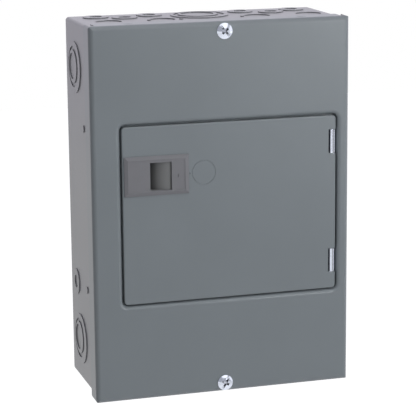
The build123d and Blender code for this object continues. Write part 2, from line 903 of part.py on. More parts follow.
# Interior
def interior_pan():
    pan = block(
        -pan_width / 2, pan_width / 2, boss_y, pan_front_y, cover_z - pan_bottom, cover_z + pan_top
    )
    for m in (-1, 1):
        edge = m * pan_width / 2
        pan += block(
            edge, edge - m * pan_sheet, pan_front_y, pan_front_y - pan_hem,
            cover_z - pan_bottom, cover_z + pan_top,
        )
    holes = [along_y(pan_screw_radius + seat_gap, boss_y, pan_front_y, x, z) for x, z in pan_screw_places()]
    bond_hole = bonding_radius + running_gap
    holes.append(along_y(bond_hole, boss_y, pan_front_y, -bonding_x, cover_z + neutral_z))
    return pan - holes


def pan_screws():
    screws = []
    for x, z in pan_screw_places():
        top = pan_front_y - pan_screw_head_height
        head = along_y(pan_screw_head, pan_front_y, top, x, z, pan_screw_crown)
        shank = along_y(pan_screw_radius, pan_front_y, pan_front_y + pan_screw_length, x, z)
        slot = slot_cut(pan_screw_head, top, small_slot_depth, small_slot_width, x, z)
        screws.append(head + shank - slot)
    return Compound(children=screws)


def bus_screw_places():
    heights = (cover_z + insulator_top - bus_screw_inset, cover_z)
    return [(m * bar_x, z) for m in (-1, 1) for z in heights]


def bus_insulator():
    back = pan_front_y
    front = -bar_front_y + bar_thick
    z0 = cover_z - insulator_bottom
    z1 = cover_z + insulator_top
    base = block(-insulator_width / 2, insulator_width / 2, back, front, z0, z1)
    barrier = block(
        -barrier_width / 2, barrier_width / 2, front, -bar_front_y - barrier_height / 2, z0, z1
    )
    walls = []
    for m in (-1, 1):
        inner = m * (bar_x + bar_width / 2 + hair)
        walls.append(block(inner, m * insulator_width / 2, front, -bar_front_y, z0, z1))
    base = base + barrier + walls
    holes = [
        along_y(bus_screw_radius + running_gap, front, front + bus_screw_depth(), x, z)
        for x, z in bus_screw_places()
    ]
    return base - holes


def bus_screw_depth():
    """Depth of a screw's hole in the insulator, which leaves a floor under it."""
    return bar_front_y - bar_thick + pan_front_y - bus_screw_floor


def bus_bar(side):
    """A vertical bar with a stab blade across each second row of breakers."""
    x = side * bar_x
    front = -bar_front_y
    bar = block(
        x - bar_width / 2, x + bar_width / 2, front, front + bar_thick,
        rows[-1] - bar_past_stab, cover_z + bar_top,
    )
    first = 0 if side < 0 else 1
    for z in rows[first::2]:
        reach = stab_half_length
        blade = block(
            -reach, reach, front - stab_rise, front - stab_clear, z - stab_thick / 2, z + stab_thick / 2
        )
        root = block(
            x - bar_width / 2, x + bar_width / 2, front - stab_clear, front,
            z - stab_thick / 2, z + stab_thick / 2,
        )
        bar = bar + blade + root
    holes = [
        along_y(bus_screw_radius + running_gap, front, front + bar_thick, px, pz)
        for px, pz in bus_screw_places() if px * side > 0
    ]
    return bar - holes


def bus_screws():
    screws = []
    for x, z in bus_screw_places():
        front = -bar_front_y
        top = front - bus_screw_head_height
        tip = front + bar_thick + bus_screw_depth() - bus_screw_tip_gap
        head = along_y(bus_screw_head, front, top, x, z)
        shank = along_y(bus_screw_radius, front, tip, x, z)
        slot = slot_cut(bus_screw_head, top, bus_slot_depth, small_slot_width, x, z)
        screws.append(head + shank - slot)
    return Compound(children=screws)


def lug(x, z, back, height, width, length):
    """A lug block: wire way through it along Z, threaded from the front."""
    body = block(x - width / 2, x + width / 2, back, back - height, z - length / 2, z + length / 2)
    body = chamfer(body.edges().filter_by(Axis.Z), lug_chamfer)
    body -= along_z(lug_wire_radius, z - length / 2, z + length / 2, x, back - lug_wire_depth)
    return body - along_y(lug_screw_radius + running_gap, back - height, back - lug_wire_depth, x, z)


def set_screw(x, z, back, height):
    """Hexagon socket screw, backed out so that the wire way is clear."""
    front = back - height - lug_screw_stand
    tip = back - lug_wire_depth - lug_wire_radius - seat_gap
    screw = along_y(lug_screw_radius, front, tip, x, z)
    face = Plane((x, front, z), x_dir=(1, 0, 0), z_dir=(0, 1, 0))
    hexagon = RegularPolygon(lug_screw_hex / 2, 6, major_radius=False)
    return screw - extrude(face * hexagon, lug_socket_depth, dir=(0, 1, 0))


def main_lug(side):
    return lug(side * lug_x, cover_z + lug_z, -bar_front_y, lug_height, lug_width, lug_length)


def main_lug_screws():
    return Compound(
        children=[set_screw(m * lug_x, cover_z + lug_z, -bar_front_y, lug_height) for m in (-1, 1)]
    )


def neutral_terminal_x():
    first = -neutral_pitch * (neutral_count - 1) / 2
    return [first + neutral_pitch * i for i in range(neutral_count)]


def neutral_bar():
    z = cover_z + neutral_z
    half = neutral_section / 2
    back = -neutral_back_y
    reach = neutral_half_length
    bar = block(-reach, reach, back, back - neutral_section, z - half, z + half)
    bar += block(
        -reach - neutral_tang, reach + neutral_tang, back, back - neutral_tang_thick, z - half, z + half
    )
    cuts = []
    mid = back - neutral_section / 2
    for x in neutral_terminal_x():
        cuts.append(along_z(neutral_wire_radius, z - half, z + half, x, mid))
        cuts.append(along_y(neutral_screw_radius + running_gap, back - neutral_section, mid, x, z))
    cuts.append(along_y(bonding_radius + running_gap, back, back - neutral_tang_thick, -bonding_x, z))
    return bar - cuts


def neutral_terminal_screws():
    z = cover_z + neutral_z
    front = -neutral_back_y - neutral_section
    screws = []
    for x in neutral_terminal_x():
        top = front - neutral_screw_stand
        screw = along_y(neutral_screw_radius, top, front + neutral_screw_bite, x, z)
        screws.append(screw - slot_cut(neutral_screw_radius, top, small_slot_depth, small_slot_width, x, z))
    return Compound(children=screws)


def neutral_standoffs():
    z = cover_z + neutral_z
    half = standoff_size / 2
    blocks = []
    for m in (-1, 1):
        x = m * standoff_x
        body = block(x - half, x + half, pan_front_y, -neutral_back_y, z - half, z + half)
        blocks.append(chamfer(body.edges().filter_by(Axis.Y), standoff_chamfer))
    return Compound(children=blocks)


def neutral_lug():
    x = neutral_half_length + neutral_tang / 2
    back = -neutral_back_y - neutral_tang_thick
    return lug(x, cover_z + neutral_z, back, neutral_lug_height, neutral_lug_width, lug_length)


def neutral_lug_screw():
    x = neutral_half_length + neutral_tang / 2
    back = -neutral_back_y - neutral_tang_thick
    return set_screw(x, cover_z + neutral_z, back, neutral_lug_height)


def bonding_screw():
    z = cover_z + neutral_z
    front = -neutral_back_y - neutral_tang_thick
    top = front - bonding_head_height
    shank = along_y(bonding_radius, front, boss_y + bonding_tip, -bonding_x, z)
    head = along_y(bonding_head_radius, front, top, -bonding_x, z)
    slot = slot_cut(bonding_head_radius, top, wide_slot_depth, wide_slot_width, -bonding_x, z)
    return head + shank - slot


def breaker_rail(side):
    """Z-shaped rail: foot on the pan, web, and a lip that carries the breakers' outer feet."""
    z0 = cover_z - rows_half_height - rail_end
    z1 = cover_z + rows_half_height + rail_end
    web_out = rail_web_x + rail_sheet
    lip = -rail_lip_front
    rail = block(side * rail_lip_x, side * web_out, pan_front_y, pan_front_y - rail_sheet, z0, z1)
    rail += block(side * rail_web_x, side * web_out, pan_front_y, lip, z0, z1)
    rail += block(side * rail_lip_x, side * web_out, lip, lip + rail_sheet, z0, z1)
    return rail


# Breakers. Each case is drawn for the right column and mirrored for the left one.
def breaker_case(side, z, poles):
    half = space_pitch * poles / 2 - breaker_gap / 2
    inner = breaker_inner_x
    outer = inner + breaker_length
    case = block(inner, outer, breaker_back_y, shoulder_y, z - half, z + half)
    step_x = outer - terminal_step_length
    case -= block(step_x, outer, shoulder_y, shoulder_y + terminal_step_drop, z - half, z + half)
    case -= block(
        rail_lip_x - seat_gap, outer, breaker_back_y, -rail_lip_front - hair, z - half, z + half
    )
    offsets = pole_offsets(poles)
    nose_half = (space_pitch - opening_rib) / 2 - escutcheon_gap
    nose_x = opening_length / 2 - escutcheon_gap
    nose_y = dead_y - escutcheon_rise
    added = []
    cuts = []
    cavity_half = handle_width / 2 + handle_cavity_gap
    for dz in offsets:
        zc = z + dz
        nose = block(
            escutcheon_x - nose_x, escutcheon_x + nose_x, shoulder_y, nose_y, zc - nose_half, zc + nose_half
        )
        added.append(chamfer(edges_at_y(nose, nose_y), escutcheon_chamfer))
        cuts.append(
            along_z(handle_hub_radius + handle_cavity_gap, zc - cavity_half, zc + cavity_half,
                    escutcheon_x, -handle_axis_y)
        )
        cuts.append(
            block(escutcheon_x - handle_slot_half, escutcheon_x + handle_slot_half,
                  -handle_axis_y - handle_slot_root, nose_y, zc - cavity_half, zc + cavity_half)
        )
        pin_half = handle_width / 2 + trunnion_length + handle_cavity_gap
        pin_hole = trunnion_radius + running_gap
        cuts.append(along_z(pin_hole, zc - pin_half, zc + pin_half, escutcheon_x, -handle_axis_y))
        pocket = jaw_pocket_width / 2
        cuts.append(
            block(inner, inner + jaw_pocket_length, breaker_back_y, breaker_back_y - jaw_pocket_depth,
                  zc - pocket, zc + pocket)
        )
        cuts.append(terminal_space(outer, zc))
    case = case + added - cuts
    return case if side > 0 else mirror(case, about=Plane.YZ)


def pole_offsets(poles):
    return [0.0] if poles == 1 else [space_pitch / 2, -space_pitch / 2]


def terminal_front():
    return shoulder_y + terminal_step_drop


def terminal_space(outer, z):
    """Pocket at the outer end of the case that holds the load terminal."""
    half = terminal_width / 2 + hair
    return block(
        outer - terminal_length - terminal_back_gap, outer, terminal_front(),
        terminal_front() + terminal_height + hair, z - half, z + half,
    )


def round_tip(lever):
    """Rounds the two long edges at the finger end."""
    crown = lever.edges().filter_by(Axis.Z).sort_by(Axis.Y)[:2]
    return fillet(crown, handle_tip_round)


def breaker_handle(side, z, poles):
    """Handle leaning towards ON, which is towards the middle of the panel."""
    half = handle_width / 2
    base = handle_base_thick / 2
    tip = handle_tip_thick / 2
    levers = []
    for dz in pole_offsets(poles):
        hub = along_z(handle_hub_radius, dz - half, dz + half, 0, 0)
        side_view = Plane((0, 0, dz - half)) * Polygon(
            (-base, 0), (base, 0), (tip, -handle_reach), (-tip, -handle_reach), align=None
        )
        lever = round_tip(extrude(side_view, handle_width, dir=(0, 0, 1)))
        pins = along_z(trunnion_radius, dz - half - trunnion_length, dz + half + trunnion_length, 0, 0)
        levers.append(hub + lever + pins)
    handle = levers[0]
    if poles > 1:
        reach = space_pitch / 2 + half
        tie = block(-tip, tip, -handle_reach, -handle_reach + tie_bar_height, -reach, reach)
        handle = handle + [levers[1], round_tip(tie)]
    lean = -side * handle_lean
    return Pos(side * escutcheon_x, -handle_axis_y, z) * Rot(0, 0, lean) * handle


def jaw(side, z):
    """Spring clip in the case's pocket; its two leaves grip the stab."""
    gap = stab_thick / 2 + hair
    out = gap + jaw_thick
    x0 = side * (stab_half_length - jaw_length)
    x1 = side * stab_half_length
    web_y = breaker_back_y - jaw_pocket_depth
    clip = block(x0, x1, web_y, web_y + jaw_thick, z - out, z + out)
    for m in (-1, 1):
        clip += block(x0, x1, web_y, breaker_back_y - jaw_inset, z + m * gap, z + m * out)
    return clip


def load_terminal(side, z):
    outer = breaker_inner_x + breaker_length
    half = terminal_width / 2
    front = terminal_front()
    body = block(
        side * (outer - terminal_length), side * outer, front, front + terminal_height, z - half, z + half
    )
    mid_y = front + terminal_wire_depth
    body -= along_x(terminal_wire_radius, side * (outer - terminal_length), side * outer, mid_y, z)
    return body - along_y(terminal_screw_radius + running_gap, front, mid_y, terminal_screw_x(side), z)


def terminal_screw_x(side):
    return side * (breaker_inner_x + breaker_length - terminal_length / 2)


def load_screw(side, z):
    front = terminal_front()
    x = terminal_screw_x(side)
    top = front - terminal_screw_stand
    screw = along_y(terminal_screw_radius, top, front + terminal_screw_bite, x, z)
    return screw - slot_cut(terminal_screw_radius, top, wide_slot_depth, wide_slot_width, x, z)


def main():
    os.makedirs("parts", exist_ok=True)
    parts = {
        "enclosure_box": enclosure_box(),
        "cover": cover(),
        "cover_screws": cover_screws(),
        "dead_front": dead_front(),
        "door_panel": door_panel(),
        "directory_card": directory_card(),
        "latch_bezel": latch_bezel(),
        "latch_keeper": latch_keeper(),
        "latch_slide": latch_slide(),
        "latch_spring": latch_spring(),
        "interior_pan": interior_pan(),
        "pan_screws": pan_screws(),
        "bus_insulator": bus_insulator(),
        "bus_screws": bus_screws(),
        "main_lug_screws": main_lug_screws(),
        "neutral_bar": neutral_bar(),
        "neutral_terminal_screws": neutral_terminal_screws(),
        "neutral_standoffs": neutral_standoffs(),
        "neutral_lug": neutral_lug(),
        "neutral_lug_screw": neutral_lug_screw(),
        "bonding_screw": bonding_screw(),
    }
    for word, z in zip(("upper", "lower"), hinge_places()):
        parts["hinge_leaf_" + word] = hinge_leaf(z)
        parts["hinge_pin_" + word] = hinge_pin(z)
        parts["hinge_clip_" + word] = hinge_clip(z)
    for word, side in (("left", -1), ("right", 1)):
        parts["bus_bar_" + word] = bus_bar(side)
        parts["main_lug_" + word] = main_lug(side)
        parts["breaker_rail_" + word] = breaker_rail(side)
    jaws = []
    terminals = []
    screws = []
    for name, side, z, poles in placed_breakers():
        parts[name + "_case"] = breaker_case(side, z, poles)
        parts[name + "_handle"] = breaker_handle(side, z, poles)
        for dz in pole_offsets(poles):
            jaws.append(jaw(side, z + dz))
            terminals.append(load_terminal(side, z + dz))
            screws.append(load_screw(side, z + dz))
    parts["breaker_jaws"] = Compound(children=jaws)
    parts["load_terminals"] = Compound(children=terminals)
    parts["load_terminal_screws"] = Compound(children=screws)
    for name, shape in parts.items():
        export_step(shape, "parts/" + name + ".step")


main()
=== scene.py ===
import json
import math

import bmesh
import bpy
from mathutils import Matrix, Vector

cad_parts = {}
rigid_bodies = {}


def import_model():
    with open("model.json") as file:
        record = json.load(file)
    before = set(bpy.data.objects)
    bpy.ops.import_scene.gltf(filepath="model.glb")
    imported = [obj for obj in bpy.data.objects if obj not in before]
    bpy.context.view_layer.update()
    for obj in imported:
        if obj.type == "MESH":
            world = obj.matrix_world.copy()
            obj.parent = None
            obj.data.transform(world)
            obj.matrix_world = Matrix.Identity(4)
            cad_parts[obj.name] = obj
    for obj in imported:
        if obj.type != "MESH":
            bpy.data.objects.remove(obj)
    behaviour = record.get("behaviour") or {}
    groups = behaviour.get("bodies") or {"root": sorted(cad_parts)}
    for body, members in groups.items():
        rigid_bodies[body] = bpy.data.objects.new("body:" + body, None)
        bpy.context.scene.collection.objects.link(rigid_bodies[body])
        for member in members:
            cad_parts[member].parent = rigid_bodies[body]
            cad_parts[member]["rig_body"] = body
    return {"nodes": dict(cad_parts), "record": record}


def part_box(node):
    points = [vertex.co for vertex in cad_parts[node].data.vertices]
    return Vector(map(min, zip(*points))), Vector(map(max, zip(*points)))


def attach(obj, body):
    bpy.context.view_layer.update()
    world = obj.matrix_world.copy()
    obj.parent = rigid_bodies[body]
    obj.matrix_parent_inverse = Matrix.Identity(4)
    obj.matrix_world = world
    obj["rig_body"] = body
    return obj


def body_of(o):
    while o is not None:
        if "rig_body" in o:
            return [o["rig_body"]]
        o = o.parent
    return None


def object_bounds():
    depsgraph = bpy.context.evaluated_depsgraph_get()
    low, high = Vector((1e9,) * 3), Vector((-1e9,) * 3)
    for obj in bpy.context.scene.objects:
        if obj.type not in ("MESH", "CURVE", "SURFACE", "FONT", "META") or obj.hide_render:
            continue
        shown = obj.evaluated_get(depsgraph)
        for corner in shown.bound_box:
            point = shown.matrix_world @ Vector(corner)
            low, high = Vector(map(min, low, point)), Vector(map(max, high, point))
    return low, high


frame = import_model()
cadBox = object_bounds()
nodes = frame["nodes"]
print("frame loaded:", len(nodes), "nodes")


# the camera
view = {
    "azimuth": -16.75,  # degrees, from straight in front towards the left
    "elevation": 12.22,
    "roll": -0.53,
    "distance": 1.55,
    "aim": (-0.0078, -0.0777, -0.0021),
    "lens": 157.46,
    "sensor": 36.0,
    "clipEnd": 50.0,
}


def makeCamera():
    data = bpy.data.cameras.new("camera")
    data.lens = view["lens"]
    data.sensor_width = view["sensor"]
    data.clip_end = view["clipEnd"]
    cam = bpy.data.objects.new("camera", data)
    bpy.context.scene.collection.objects.link(cam)
    a, e, r = (math.radians(view[k]) for k in ("azimuth", "elevation", "roll"))
    back = Vector((math.sin(a) * math.cos(e), -math.cos(a) * math.cos(e), math.sin(e)))
    level = Vector((math.cos(a), math.sin(a), 0))
    upright = back.cross(level)
    right = level * math.cos(r) + upright * math.sin(r)
    up = upright * math.cos(r) - level * math.sin(r)
    turn = Matrix((right, up, back)).transposed().to_4x4()
    cam.matrix_world = Matrix.Translation(Vector(view["aim"]) + back * view["distance"]) @ turn
    bpy.context.scene.camera = cam


makeCamera()
print("camera placed")


# how the painted shade in slots and seams reads the occlusion
crevices = {
    "deep": 0.30,  # occlusion that counts as fully deep
    "open": 0.85,
    "samples": 8,
}


# a material and the node tree that it is wired in
class Shader:
    def __init__(self, name):
        self.mat = bpy.data.materials.new(name)
        self.mat.use_nodes = True
        self.tree = self.mat.node_tree
        self.tree.nodes.clear()
        self.out = self.add("ShaderNodeOutputMaterial")
        self.skin = self.add("ShaderNodeBsdfPrincipled")
        self.join(self.skin, "BSDF", self.out, "Surface")
        self.where = self.add("ShaderNodeTexCoord")

    def add(self, kind, **values):
        made = self.tree.nodes.new(kind)
        for key, value in values.items():
            setattr(made, key, value)
        return made

    def join(self, a, outName, b, inName):
        self.tree.links.new(a.outputs[outName], b.inputs[inName])

    def noise(self, scale, detail, roughness, stretch=None):
        # scale counts features per metre
        made = self.add("ShaderNodeTexNoise")
        made.inputs["Scale"].default_value = scale
        made.inputs["Detail"].default_value = detail
        made.inputs["Roughness"].default_value = roughness
        if stretch:
            bend = self.add("ShaderNodeMapping")
            bend.inputs["Scale"].default_value = stretch
            self.join(self.where, "Object", bend, "Vector")
            self.join(bend, "Vector", made, "Vector")
        else:
            self.join(self.where, "Object", made, "Vector")
        return made, "Fac"

    def cells(self, scale):
        made = self.add("ShaderNodeTexVoronoi")
        made.inputs["Scale"].default_value = scale
        self.join(self.where, "Object", made, "Vector")
        return made, "Color"

    def ramp(self, source, low, high):
        # stretches a 0..1 value to low..high
        made = self.add("ShaderNodeMapRange")
        made.inputs["To Min"].default_value = low
        made.inputs["To Max"].default_value = high
        self.join(source[0], source[1], made, "Value")
        return made, "Result"

    def window(self, source, start, end, low, high):
        # low before start, high after end
        made = self.add("ShaderNodeMapRange")
        made.inputs["From Min"].default_value = start
        made.inputs["From Max"].default_value = end
        made.inputs["To Min"].default_value = low
        made.inputs["To Max"].default_value = high
        self.join(source[0], source[1], made, "Value")
        return made, "Result"

    def sum(self, *sources):
        total = sources[0]
        for nextOne in sources[1:]:
            made = self.add("ShaderNodeMath", operation="ADD")
            self.join(total[0], total[1], made, 0)
            self.join(nextOne[0], nextOne[1], made, 1)
            total = (made, "Value")
        return total

    def tint(self, colour, source, darker, lighter):
        # the colour times a value that runs from darker to lighter
        strength = self.ramp(source, darker, lighter)
        made = self.add("ShaderNodeVectorMath", operation="SCALE")
        made.inputs[0].default_value = colour
        self.join(strength[0], strength[1], made, "Scale")
        return made, "Vector"

    def depth(self, start, end, low, high):
        # low at start and high at end, along the object's own Y
        parts = self.add("ShaderNodeSeparateXYZ")
        self.join(self.where, "Object", parts, "Vector")
        return self.window((parts, "Y"), start, end, low, high)

    def crevice(self, distance, darkest):
        # painted shade: 1 in the open, darkest deep in a slot or seam
        made = self.add("ShaderNodeAmbientOcclusion", only_local=True, samples=crevices["samples"])
        made.inputs["Distance"].default_value = distance
        return self.window((made, "AO"), crevices["deep"], crevices["open"], darkest, 1.0)

    def scale(self, colour, factor):
        made = self.add("ShaderNodeVectorMath", operation="SCALE")
        self.join(colour[0], colour[1], made, 0)
        self.join(factor[0], factor[1], made, "Scale")
        return made, "Vector"

    def colour(self, source):
        self.join(source[0], source[1], self.skin, "Base Color")

    def metallic(self, share):
        self.skin.inputs["Metallic"].default_value = share

    def rough(self, source, low, high):
        spread = self.ramp(source, low, high)
        self.join(spread[0], spread[1], self.skin, "Roughness")

    def bump(self, *layers):
        # each layer: source, height in metres
        last = None
        for source, height in layers:
            made = self.add("ShaderNodeBump")
            made.inputs["Strength"].default_value = 1.0
            made.inputs["Distance"].default_value = height
            self.join(source[0], source[1], made, "Height")
            if last:
                self.join(last, "Normal", made, "Normal")
            last = made
        self.join(last, "Normal", self.skin, "Normal")


# Each texture below is features per metre, detail and roughness. Each shade is the least and the
# most that it multiplies the colour by. Heights are in metres.

# baked enamel on the box, cover and door, with the box's copy lighter and bluer as painted light for its
# brighter lit top and sides
enamel = {
    "front": (0.181, 0.204, 0.219),
    # painted light: a lighter, bluer copy of the cover's enamel for the box
    "box": (0.212, 0.214, 0.229),
    "shade": (0.93, 1.07),
    "rough": (0.30, 0.38),
    "drift": (11.0, 3.0, 0.55),
    "peel": (620.0, 2.0, 0.5),  # orange peel
    "peelHeight": 0.000010,
    "grain": (3600.0, 1.0, 0.5),
    "grainShade": (-0.12, 0.12),
    "grainHeight": 0.000002,
}


def enamelPaint(name, base):
    s = Shader(name)
    drift = s.noise(*enamel["drift"])
    peel = s.noise(*enamel["peel"])
    grain = s.noise(*enamel["grain"])
    s.colour(s.tint(base, s.sum(drift, s.ramp(grain, *enamel["grainShade"])), *enamel["shade"]))
    s.rough(drift, *enamel["rough"])
    s.bump((peel, enamel["peelHeight"]), (grain, enamel["grainHeight"]))
    return s.mat


# bright zinc on the screws and hinge barrels
zinc = {
    "colour": (0.56, 0.59, 0.66),
    "shade": (0.86, 1.08),
    "rough": (0.09, 0.20),
    "reach": 0.0022,  # how far the painted shade in the slots and seams looks for a wall
    "seamShade": 0.10,
    "clouds": (260.0, 4.0, 0.6),
    "scratches": (2400.0, 2.0, 0.6, (1.0, 1.0, 0.12)),
    "scratchHeight": 0.000003,
}


def brightZinc():
    s = Shader("brightZinc")
    clouds = s.noise(*zinc["clouds"])
    lines = s.noise(*zinc["scratches"])
    unshadedZinc = s.tint(zinc["colour"], clouds, *zinc["shade"])
    # painted shade darkens the zinc in its slots and seams
    s.colour(s.scale(unshadedZinc, s.crevice(zinc["reach"], zinc["seamShade"])))
    s.metallic(1.0)
    s.rough(clouds, *zinc["rough"])
    s.bump((lines, zinc["scratchHeight"]))
    return s.mat


# moulded plastics: spark is their fine grain
mouldings = {
    "greyPlastic": {
        "colour": (0.160, 0.160, 0.173),
        "rough": (0.48, 0.60),
        "spark": (2600.0, 2.0, 0.6),
        "height": 0.000010,
    },
    "slidePlastic": {
        "colour": (0.160, 0.163, 0.164),
        "rough": (0.44, 0.56),
        "spark": (2600.0, 2.0, 0.6),
        "height": 0.000008,
        # painted shade, darker towards the floor of the finger hollow: start and end in y, shade at each
        "hollowShade": (-0.0961, -0.0925, 1.0, 0.46),
    },
    "blackMoulding": {
        "colour": (0.022, 0.022, 0.025),
        "rough": (0.38, 0.52),
        "spark": (1800.0, 2.0, 0.6),
        "height": 0.000010,
    },
    "handlePlastic": {
        "colour": (0.030, 0.030, 0.033),
        "rough": (0.22, 0.34),
        "spark": (900.0, 2.0, 0.6),
        "height": 0.000003,
    },
}
mould = {"flow": (38.0, 3.0, 0.6), "sparkShade": (-0.15, 0.15), "shade": (0.90, 1.12)}


def moulding(name):
    look = mouldings[name]
    s = Shader(name)
    spark = s.noise(*look["spark"])
    flow = s.noise(*mould["flow"])
    skin = s.tint(look["colour"], s.sum(flow, s.ramp(spark, *mould["sparkShade"])), *mould["shade"])
    # painted shade in the finger hollow of the slide
    if "hollowShade" in look:
        skin = s.scale(skin, s.depth(*look["hollowShade"]))
    s.colour(skin)
    s.rough(flow, *look["rough"])
    s.bump((spark, look["height"]))
    return s.mat


# hot-dip zinc on the pan and the keeper
dip = {
    "colour": (0.60, 0.62, 0.65),
    "shade": (0.78, 1.12),
    "rough": (0.32, 0.52),
    "spangle": 150.0,
    "grain": (1500.0, 2.0, 0.6),
    "grainShade": (-0.1, 0.1),
    "grainHeight": 0.000004,
}


def galvanised():
    s = Shader("galvanised")
    spangle = s.cells(dip["spangle"])
    grain = s.noise(*dip["grain"])
    s.colour(s.tint(dip["colour"], s.sum(spangle, s.ramp(grain, *dip["grainShade"])), *dip["shade"]))
    s.metallic(1.0)
    s.rough(spangle, *dip["rough"])
    s.bump((grain, dip["grainHeight"]))
    return s.mat


# drawn and rolled metals: grain stretches their lines along one axis
drawn = {
    "tinnedBus": {"colour": (0.72, 0.72, 0.73), "rough": (0.28, 0.42), "grain": (1.0, 1.0, 0.04)},
    "lugAluminium": {"colour": (0.74, 0.75, 0.77), "rough": (0.26, 0.40), "grain": (1.0, 1.0, 0.05)},
    "brassClip": {"colour": (0.72, 0.52, 0.24), "rough": (0.24, 0.40), "grain": (0.06, 1.0, 1.0)},
    "springSteel": {"colour": (0.55, 0.55, 0.57), "rough": (0.22, 0.34), "grain": (1.0, 1.0, 1.0)},
}
drawMarks = {
    "lines": (1900.0, 3.0, 0.6),
    "clouds": (60.0, 3.0, 0.55),
    "shade": (0.86, 1.08),
    "height": 0.000004,
}


def drawnMetal(name):
    look = drawn[name]
    s = Shader(name)
    lines = s.noise(*drawMarks["lines"], look["grain"])
    clouds = s.noise(*drawMarks["clouds"])
    s.colour(s.tint(look["colour"], clouds, *drawMarks["shade"]))
    s.metallic(1.0)
    s.rough(lines, *look["rough"])
    s.bump((lines, drawMarks["height"]))
    return s.mat


# dyed zinc on the bonding screw
dye = {
    "colour": (0.05, 0.30, 0.11),
    "shade": (0.75, 1.15),
    "rough": (0.28, 0.44),
    "metal": 0.6,
    "clouds": (420.0, 3.0, 0.6),
    "height": 0.000006,
}


def greenDye():
    s = Shader("greenDye")
    clouds = s.noise(*dye["clouds"])
    s.colour(s.tint(dye["colour"], clouds, *dye["shade"]))
    s.metallic(dye["metal"])
    s.rough(clouds, *dye["rough"])
    s.bump((clouds, dye["height"]))
    return s.mat


# the directory card
paper = {
    "colour": (0.80, 0.79, 0.75),
    "shade": (0.94, 1.04),
    "rough": (0.72, 0.86),
    "fibre": (900.0, 4.0, 0.7),
    "height": 0.000010,
}


def cardStock():
    s = Shader("cardStock")
    fibre = s.noise(*paper["fibre"])
    s.colour(s.tint(paper["colour"], fibre, *paper["shade"]))
    s.rough(fibre, *paper["rough"])
    s.bump((fibre, paper["height"]))
    return s.mat


finishes = {
    "coverPaint": enamelPaint("coverPaint", enamel["front"]),
    # the box takes the lighter copy of the enamel, painted light
    "boxPaintWithPaintedLight": enamelPaint("boxPaintWithPaintedLight", enamel["box"]),
    "brightZinc": brightZinc(),
    "galvanised": galvanised(),
    "greenDye": greenDye(),
    "cardStock": cardStock(),
}
for moulded in mouldings:
    finishes[moulded] = moulding(moulded)
for metal in drawn:
    finishes[metal] = drawnMetal(metal)
print("materials made:", len(finishes))


# which finish each node of the record's slots takes
dressing = {
    "box_paint": "boxPaintWithPaintedLight",
    "cover_paint": "coverPaint",
    "bright_zinc": "brightZinc",
    "card": "cardStock",
    "grey_plastic": "greyPlastic",
    "dark_plastic": "slidePlastic",
    "spring_steel": "springSteel",
    "galvanised": "galvanised",
    "black_moulding": "blackMoulding",
    "handle_plastic": "handlePlastic",
    "tinned_bus": "tinnedBus",
    "lug_aluminium": "lugAluminium",
    "brass_clip": "brassClip",
    "green_screw": "greenDye",
}


def dressNodes():
    for part in frame["record"]["subparts"]:
        node = nodes[part["node"]]
        finish = finishes[dressing[part["material_slot"]]]
        node.data.materials.clear()
        node.data.materials.append(finish)


dressNodes()
print("nodes dressed")


# printed and cut details that ride on the parts
inks = {
    "whiteInk": {"colour": (0.74, 0.74, 0.72), "rough": (0.45, 0.60)},
    "blackInk": {"colour": (0.035, 0.035, 0.040), "rough": (0.50, 0.66)},
}
speckles = {"texture": (5200.0, 3.0, 0.7), "shade": (0.86, 1.10), "height": 0.000004}


def ink(name):
    look = inks[name]
    s = Shader(name)
    speckle = s.noise(*speckles["texture"])
    s.colour(s.tint(look["colour"], speckle, *speckles["shade"]))
    s.rough(speckle, *look["rough"])
    s.bump((speckle, speckles["height"]))
    return s.mat


for printed in inks:
    finishes[printed] = ink(printed)

facingFront = Matrix.Rotation(math.radians(90), 4, "X")
facingBack = Matrix.Rotation(math.radians(180), 4, "Z") @ facingFront
letterSteps = 3  # between the points of a letter's curves


def addWord(shape, word, size, place, facing, thick):
    curve = bpy.data.curves.new("word", "FONT")
    curve.body = word
    curve.size = size
    curve.align_x = "CENTER"
    curve.align_y = "CENTER"
    curve.extrude = thick
    curve.resolution_u = letterSteps
    holder = bpy.data.objects.new("word", curve)
    bpy.context.scene.collection.objects.link(holder)
    bpy.context.view_layer.update()
    mesh = bpy.data.meshes.new_from_object(holder.evaluated_get(bpy.context.evaluated_depsgraph_get()))
    mesh.transform(Matrix.Translation(place) @ facing)
    shape.from_mesh(mesh)
    bpy.data.objects.remove(holder)
    bpy.data.curves.remove(curve)
    bpy.data.meshes.remove(mesh)


def addBar(shape, low, high):
    size = high - low
    middle = Matrix.Translation((low + high) / 2)
    bmesh.ops.create_cube(shape, size=1.0, matrix=middle @ Matrix.Diagonal((*size, 1)))


def finishPiece(name, shape, finish, beside):
    mesh = bpy.data.meshes.new(name)
    shape.to_mesh(mesh)
    shape.free()
    piece = bpy.data.objects.new(name, mesh)
    bpy.context.scene.collection.objects.link(piece)
    mesh.materials.append(finishes[finish])
    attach(piece, body_of(nodes[beside])[0])
    return piece


# the four rows of breaker spaces, from the top down
topRow = sum(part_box("breaker_1_case"), Vector()) / 2
nextRow = sum(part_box("breaker_2_case"), Vector()) / 2
spacePitch = topRow.z - nextRow.z
spaceCount = 4
spaceRows = [topRow.z - i * spacePitch for i in range(spaceCount)]

card = {
    "rule": 0.0003,
    "margin": 0.006,
    "digit": 0.0052,
    "print": 0.00002,  # ink's thickness
    "gutter": 0.006,  # between the two columns
    "lift": 0.9,  # digits above their rule, as a share of their size
}


